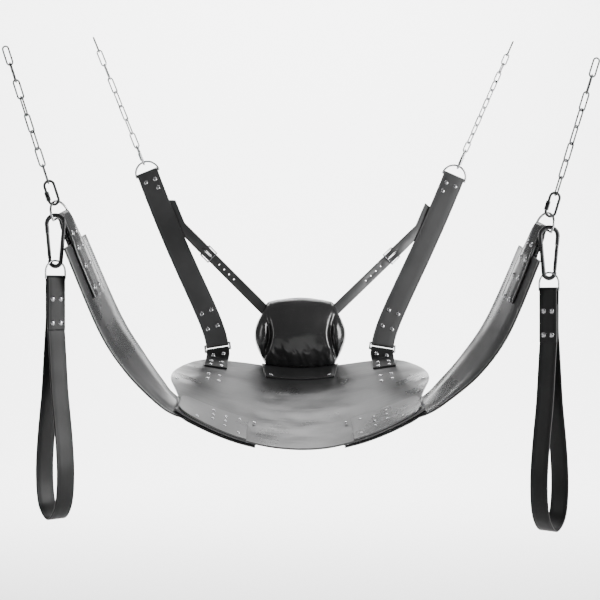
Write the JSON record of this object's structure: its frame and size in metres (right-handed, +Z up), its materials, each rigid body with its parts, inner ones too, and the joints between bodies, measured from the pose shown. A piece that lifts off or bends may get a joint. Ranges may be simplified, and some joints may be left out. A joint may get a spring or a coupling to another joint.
{
  "type": "hanging sling seat",
  "caption": "Black leather sling seat hung on chains, with wide side arms, padded headrest on buckled straps, and long foot stirrups on snap hooks.",
  "frame": {"origin": "middle of the suspension, between the upper ends of the front and rear chains and above the seat's centre line", "axes": "+X to the right as seen from the front, +Y to the rear (towards the headrest), +Z up"},
  "size_m": [1.1072, 0.6847, 1.0334],
  "materials": {
    "black_leather": "smooth black leather with a slight sheen",
    "tab_leather": "polished black leather",
    "pillow_leather": "soft glossy black leather",
    "dark_steel": "plated steel wire, dark reflections",
    "nickel": "bright nickel plate"
  },
  "bodies": {
    "suspension": {"hang_links": "dark_steel"},
    "hanger_front_left": {"chain_front_left": "dark_steel", "quick_link_front_left": "dark_steel"},
    "nut_front_left": {"link_nut_front_left": "dark_steel"},
    "hanger_front_right": {"chain_front_right": "dark_steel", "quick_link_front_right": "dark_steel"},
    "nut_front_right": {"link_nut_front_right": "dark_steel"},
    "hanger_rear_left": {"chain_rear_left": "nickel", "quick_link_rear_left": "nickel"},
    "nut_rear_left": {"link_nut_rear_left": "nickel"},
    "hanger_rear_right": {"chain_rear_right": "nickel", "quick_link_rear_right": "nickel"},
    "nut_rear_right": {"link_nut_rear_right": "nickel"},
    "cradle": {"front_ring_left": "nickel", "front_ring_right": "nickel", "rear_ring_left": "nickel", "rear_ring_right": "nickel", "seat_panel": "black_leather", "arm_strap_left": "black_leather", "arm_strap_right": "black_leather", "arm_tab_left": "tab_leather", "arm_tab_right": "tab_leather", "arm_tab_rivets": "nickel", "front_patch_left": "tab_leather", "front_patch_right": "tab_leather", "seat_front_rivets": "nickel", "seat_studs": "nickel", "rear_strap_left": "black_leather", "rear_strap_right": "black_leather", "rear_strap_rivets": "nickel", "loop_ring_left": "nickel", "loop_ring_right": "nickel", "seat_tab_left": "tab_leather", "seat_tab_right": "tab_leather", "seat_tab_rivets": "nickel", "headrest_pillow": "pillow_leather", "headrest_flap": "black_leather", "headrest_rivets": "nickel", "headrest_strap_left": "black_leather", "headrest_strap_right": "black_leather", "headrest_billet_left": "black_leather", "headrest_billet_right": "black_leather", "buckle_frame_left": "nickel", "buckle_frame_right": "nickel"},
    "carabiner_left": {"carabiner_left": "dark_steel"},
    "gate_left": {"carabiner_gate_left": "dark_steel"},
    "stirrup_left": {"stirrup_ring_left": "nickel", "stirrup_strap_left": "black_leather", "stirrup_rivets_left": "nickel"},
    "prong_left": {"buckle_prong_left": "nickel"},
    "carabiner_right": {"carabiner_right": "dark_steel"},
    "gate_right": {"carabiner_gate_right": "dark_steel"},
    "stirrup_right": {"stirrup_ring_right": "nickel", "stirrup_strap_right": "black_leather", "stirrup_rivets_right": "nickel"},
    "prong_right": {"buckle_prong_right": "nickel"}
  },
  "joints": [
    {"name": "swing_rear_left", "type": "hinge", "parent": "suspension", "child": "hanger_rear_left", "pos_m": [-0.465, 0.31, 0.036], "axis": [1, 0, 0], "range_deg": [-12, 12]},
    {"name": "swing_rear_right", "type": "hinge", "parent": "suspension", "child": "hanger_rear_right", "pos_m": [0.479, 0.31, 0.027], "axis": [1, 0, 0], "range_deg": [-12, 12]},
    {"name": "swing_front_left", "type": "hinge", "parent": "suspension", "child": "hanger_front_left", "pos_m": [-0.5355, -0.31, -0.105], "axis": [1, 0, 0], "range_deg": [-12, 12]},
    {"name": "swing_front_right", "type": "hinge", "parent": "suspension", "child": "hanger_front_right", "pos_m": [0.5395, -0.31, -0.127], "axis": [1, 0, 0], "range_deg": [-12, 12]},
    {"name": "seat_level", "type": "hinge", "parent": "hanger_rear_left", "child": "cradle", "pos_m": [-0.362, 0.31, -0.222], "axis": [1, 0, 0], "range_deg": [-12, 12]},
    {"name": "nut_slide_front_left", "type": "slide", "parent": "hanger_front_left", "child": "nut_front_left", "axis": [-0.3046, 0, 0.9525], "range_m": [0, 0.008]},
    {"name": "nut_slide_front_right", "type": "slide", "parent": "hanger_front_right", "child": "nut_front_right", "axis": [0.2911, 0, 0.9567], "range_m": [0, 0.008]},
    {"name": "nut_slide_rear_left", "type": "slide", "parent": "hanger_rear_left", "child": "nut_rear_left", "axis": [-0.3708, 0, 0.9287], "range_m": [0, 0.008]},
    {"name": "nut_slide_rear_right", "type": "slide", "parent": "hanger_rear_right", "child": "nut_rear_right", "axis": [0.4012, 0, 0.916], "range_m": [0, 0.008]},
    {"name": "carabiner_sway_left", "type": "hinge", "parent": "cradle", "child": "carabiner_left", "pos_m": [-0.45037, -0.32222, -0.39115], "axis": [0, 1, 0], "range_deg": [0, 20]},
    {"name": "stirrup_swing_left", "type": "hinge", "parent": "carabiner_left", "child": "stirrup_left", "pos_m": [-0.45037, -0.32222, -0.46869], "axis": [0.766, 0.6428, 0], "range_deg": [-20, 20]},
    {"name": "gate_turn_left", "type": "hinge", "parent": "carabiner_left", "child": "gate_left", "pos_m": [-0.46086, -0.32222, -0.4628], "axis": [0, 1, 0], "range_deg": [0, 20], "stiffness_Nm_per_rad": 0.2},
    {"name": "prong_turn_left", "type": "hinge", "parent": "cradle", "child": "prong_left", "pos_m": [-0.21343, 0.22373, -0.42842], "axis": [-0.7007, 0, -0.7135], "range_deg": [0, 75]},
    {"name": "carabiner_sway_right", "type": "hinge", "parent": "cradle", "child": "carabiner_right", "pos_m": [0.45863, -0.32205, -0.41323], "axis": [0, -1, 0], "range_deg": [0, 20]},
    {"name": "stirrup_swing_right", "type": "hinge", "parent": "carabiner_right", "child": "stirrup_right", "pos_m": [0.45863, -0.32205, -0.49078], "axis": [0.766, -0.6428, 0], "range_deg": [-20, 20]},
    {"name": "gate_turn_right", "type": "hinge", "parent": "carabiner_right", "child": "gate_right", "pos_m": [0.46912, -0.32205, -0.48488], "axis": [0, -1, 0], "range_deg": [0, 20], "stiffness_Nm_per_rad": 0.2},
    {"name": "prong_turn_right", "type": "hinge", "parent": "cradle", "child": "prong_right", "pos_m": [0.21396, 0.22353, -0.43261], "axis": [-0.6879, 0, 0.7259], "range_deg": [0, 75]}
  ],
  "couplings": [
    {"joint": "swing_rear_right", "follows": "swing_rear_left", "ratio": 1},
    {"joint": "swing_front_left", "follows": "swing_rear_left", "ratio": 1},
    {"joint": "swing_front_right", "follows": "swing_rear_left", "ratio": 1},
    {"joint": "seat_level", "follows": "swing_rear_left", "ratio": -1}
  ]
}
